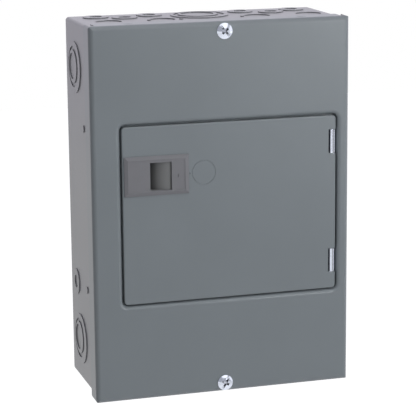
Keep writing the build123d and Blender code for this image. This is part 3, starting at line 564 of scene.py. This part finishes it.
def makeCardPrint():
    low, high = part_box("directory_card")
    shape = bmesh.new()
    back = high.y
    half = card["rule"] / 2
    left, right = low.x + card["margin"], high.x - card["margin"]
    middle = (left + right) / 2
    step = (high.z - low.z - 2 * card["margin"]) / len(spaceRows)
    columns = ((middle + card["gutter"] / 2, right), (left, middle - card["gutter"] / 2))
    for side, (start, end) in enumerate(columns):
        for row in range(len(spaceRows)):
            z = high.z - card["margin"] - (row + 1) * step
            addBar(shape, Vector((start, back, z - half)), Vector((end, back + card["print"], z + half)))
            number = str(2 * row + side + 1)
            spot = Vector((end - card["digit"] / 2, back, z + card["digit"] * card["lift"]))
            addWord(shape, number, card["digit"], spot, facingBack, card["print"])
    for x in (left, right):
        addBar(
            shape, Vector((x - half, back, low.z + card["margin"])),
            Vector((x + half, back + card["print"], high.z - card["margin"])),
        )
    finishPiece("card_print", shape, "blackInk", "directory_card")


deadFront = {
    "sheet": 0.0012,
    "digitShift": 0.0012,  # the row of digits from the middle of the cases
    "digit": 0.0062,
    "fromOpening": 0.0062,
    "opening": 0.0192,  # half its length
    "raise": 0.00012,
}


def makeSpaceNumbers():
    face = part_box("dead_front")[1].y - deadFront["sheet"]
    outward = deadFront["opening"] + deadFront["fromOpening"]
    shape = bmesh.new()
    for side in (-1, 1):
        for row, z in enumerate(spaceRows):
            number = str(2 * row + (1 if side < 0 else 2))
            x = side * (abs(topRow.x) - deadFront["digitShift"] + outward)
            addWord(shape, number, deadFront["digit"], Vector((x, face, z)), facingFront, deadFront["raise"])
    finishPiece("space_numbers", shape, "whiteInk", "dead_front")


marks = {
    "word": 0.0034,
    "axis": 0.040,  # handles' axes from the middle of the box
    "inward": 0.0135,  # from the handle's axis to the word
    "thick": 0.00005,
}


def makeHandleMarks():
    shape = bmesh.new()
    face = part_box("breaker_1_case")[0].y
    for name in nodes:
        if not name.endswith("_case"):
            continue
        low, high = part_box(name)
        poles = round((high.z - low.z) / spacePitch)
        middle = (low.z + high.z) / 2
        side = 1 if low.x > 0 else -1
        axis = side * marks["axis"]
        for pole in range(poles):
            z = middle + (pole - (poles - 1) / 2) * spacePitch
            for word, along in (("ON", -side), ("OFF", side)):
                spot = Vector((axis + along * marks["inward"], face, z))
                addWord(shape, word, marks["word"], spot, facingFront, marks["thick"])
    finishPiece("handle_marks", shape, "whiteInk", "breaker_1_case")


thread = {
    "pitch": 0.00106,
    "root": 0.00205,
    "crest": 0.00236,
    "start": 0.0016,  # behind the head
    "end": 0.0136,
    "steps": 28,  # to a turn
    "flank": 0.42,  # root of the thread from its crest, in pitches
    "flat": 0.06,  # half the crest, in pitches
    "tip": 0.0005,  # the part of the shank that marks its axis
}


# radius and shift of the four corners of a turn
def profile(crest):
    flank, flat = thread["flank"], thread["flat"]
    return ((thread["root"], -flank), (crest, -flat), (crest, flat), (thread["root"], flank))


def makeThreads():
    low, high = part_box("cover_screws")
    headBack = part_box("cover")[0].y
    screws = nodes["cover_screws"].data
    shape = bmesh.new()
    middle = (low.z + high.z) / 2
    ends = [v.co for v in screws.vertices if v.co.y > high.y - thread["tip"]]
    for above in (True, False):
        tips = [spot for spot in ends if (spot.z > middle) == above]
        centre = sum(tips, Vector()) / len(tips)
        turns = (thread["end"] - thread["start"]) / thread["pitch"]
        count = int(turns * thread["steps"])
        last = None
        for i in range(count + 1):
            angle = 2 * math.pi * i / thread["steps"]
            y = headBack + thread["start"] + thread["pitch"] * i / thread["steps"]
            fade = min(1.0, i / thread["steps"], (count - i) / thread["steps"])
            crest = thread["root"] + (thread["crest"] - thread["root"]) * fade
            line = []
            for radius, shift in profile(crest):
                spot = (math.cos(angle) * radius, shift * thread["pitch"], math.sin(angle) * radius)
                line.append(shape.verts.new(Vector((centre.x, y, centre.z)) + Vector(spot)))
            if last:
                for k in range(len(line) - 1):
                    shape.faces.new((last[k], line[k], line[k + 1], last[k + 1]))
            last = line
    bmesh.ops.recalc_face_normals(shape, faces=shape.faces)
    piece = finishPiece("cover_screw_threads", shape, "brightZinc", "cover_screws")
    for face in piece.data.polygons:
        face.use_smooth = True


makeCardPrint()
makeSpaceNumbers()
makeHandleMarks()
makeThreads()
print("printed and cut details made")


# a soft key from the front right, fill from the left, white behind and a dimmer room in front
studio = {
    "ambient": (0.11, 0.112, 0.12),
    "roomLeft": (0.26, 0.27, 0.31),
    "roomRight": (0.66, 0.66, 0.70),
    "behind": (1.10, 1.065, 1.19),
    "sky": (0.16, 0.165, 0.18),
    "sides": (-0.35, 0.25),  # where the left of the room turns to the right
    "height": (0.42, 0.80),  # where what is behind turns to the dark above
    "depth": (-0.30, 0.10),  # where the front of the room turns to what is behind
    "floorDrop": 0.9,  # the box hangs on a wall, well above the floor
    "floorSize": 14.0,
    "floorGlow": 0.95,
    "floorCloth": (0.82, 0.82, 0.83),
    "lamps": {
        "key": {"place": (0.8, -1.4, 0.25), "size": 0.5, "power": 9.0, "colour": (0.96, 0.98, 1.0)},
        "above": {"place": (0.15, -0.9, 1.2), "size": 1.8, "power": 9.5, "colour": (1.0, 1.0, 1.0)},
        "fill": {"place": (-0.9, -1.5, 0.3), "size": 2.0, "power": 3.2, "colour": (1.0, 1.0, 1.0)},
        "rim": {"place": (1.3, -0.35, 0.2), "size": 1.2, "power": 3.0, "colour": (0.97, 0.98, 1.0)},
        "overhead": {"place": (0.0, 0.6, 1.2), "size": 1.6, "power": 8.0, "colour": (0.95, 0.92, 1.0)},
    },
    "aim": (0.0, -0.06, 0.0),
}


def mathNode(tree, operation, first, second):
    made = tree.nodes.new("ShaderNodeMath")
    made.operation = operation
    for socket, given in zip(made.inputs, (first, second)):
        if isinstance(given, float):
            socket.default_value = given
        else:
            tree.links.new(given, socket)
    return made.outputs[0]


def background(tree, colour):
    made = tree.nodes.new("ShaderNodeBackground")
    if isinstance(colour, tuple):
        made.inputs["Color"].default_value = (*colour, 1)
    else:
        tree.links.new(colour, made.inputs["Color"])
    return made.outputs[0]


def mixShader(tree, factor, first, second):
    made = tree.nodes.new("ShaderNodeMixShader")
    for socket, given in zip(made.inputs, (factor, first, second)):
        tree.links.new(given, socket)
    return made.outputs[0]


def mirrorRays(tree, path):
    return mathNode(tree, "MAXIMUM", path.outputs["Is Glossy Ray"], path.outputs["Is Transmission Ray"])


def rampBetween(tree, value, ends):
    made = tree.nodes.new("ShaderNodeMapRange")
    made.interpolation_type = "SMOOTHSTEP"
    made.inputs["From Min"].default_value, made.inputs["From Max"].default_value = ends
    tree.links.new(value, made.inputs["Value"])
    return made.outputs[0]


def mixColour(tree, factor, first, second):
    made = tree.nodes.new("ShaderNodeMixRGB")
    tree.links.new(factor, made.inputs["Fac"])
    for socket, given in (("Color1", first), ("Color2", second)):
        if isinstance(given, tuple):
            made.inputs[socket].default_value = (*given, 1)
        else:
            tree.links.new(given, made.inputs[socket])
    return made.outputs[0]


def makeWorld():
    world = bpy.data.worlds.new("studio")
    bpy.context.scene.world = world
    world.use_nodes = True
    tree = world.node_tree
    tree.nodes.clear()
    out = tree.nodes.new("ShaderNodeOutputWorld")
    path = tree.nodes.new("ShaderNodeLightPath")
    where = tree.nodes.new("ShaderNodeTexCoord")
    split = tree.nodes.new("ShaderNodeSeparateXYZ")
    tree.links.new(where.outputs["Generated"], split.inputs[0])
    across = rampBetween(tree, split.outputs["X"], studio["sides"])
    upward = rampBetween(tree, split.outputs["Z"], studio["height"])
    inward = rampBetween(tree, split.outputs["Y"], studio["depth"])
    room = mixColour(tree, across, studio["roomLeft"], studio["roomRight"])
    backdrop = mixColour(tree, upward, studio["behind"], studio["sky"])
    mirrored = background(tree, mixColour(tree, inward, room, backdrop))
    lit = background(tree, studio["ambient"])
    seen = background(tree, (1.0, 1.0, 1.0))
    inside = mixShader(tree, mirrorRays(tree, path), lit, mirrored)
    tree.links.new(mixShader(tree, path.outputs["Is Camera Ray"], inside, seen), out.inputs["Surface"])


def makeFloor():
    level = cadBox[0].z - studio["floorDrop"]
    bpy.ops.mesh.primitive_plane_add(size=studio["floorSize"], location=(0, 0, level))
    floor = bpy.context.object
    floor.name = "floor"
    mat = bpy.data.materials.new("floor")
    mat.use_nodes = True
    tree = mat.node_tree
    tree.nodes.clear()
    out = tree.nodes.new("ShaderNodeOutputMaterial")
    path = tree.nodes.new("ShaderNodeLightPath")
    cloth = tree.nodes.new("ShaderNodeBsdfDiffuse")
    cloth.inputs["Color"].default_value = (*studio["floorCloth"], 1)
    glow = tree.nodes.new("ShaderNodeEmission")
    both = tree.nodes.new("ShaderNodeAddShader")
    seen = mathNode(tree, "MAXIMUM", path.outputs["Is Camera Ray"], mirrorRays(tree, path))
    tree.links.new(mathNode(tree, "MULTIPLY", seen, studio["floorGlow"]), glow.inputs["Strength"])
    tree.links.new(cloth.outputs[0], both.inputs[0])
    tree.links.new(glow.outputs[0], both.inputs[1])
    tree.links.new(both.outputs[0], out.inputs["Surface"])
    floor.data.materials.append(mat)


def makeLamps():
    for name, look in studio["lamps"].items():
        data = bpy.data.lights.new(name, "AREA")
        data.shape = "DISK"
        data.size = look["size"]
        data.energy = look["power"]
        data.color = look["colour"]
        lamp = bpy.data.objects.new(name, data)
        bpy.context.scene.collection.objects.link(lamp)
        lamp.location = look["place"]
        lamp.rotation_euler = (Vector(studio["aim"]) - lamp.location).to_track_quat("-Z", "Y").to_euler()


makeWorld()
makeFloor()
makeLamps()
bpy.context.scene.view_settings.view_transform = "Standard"
print("studio lit")
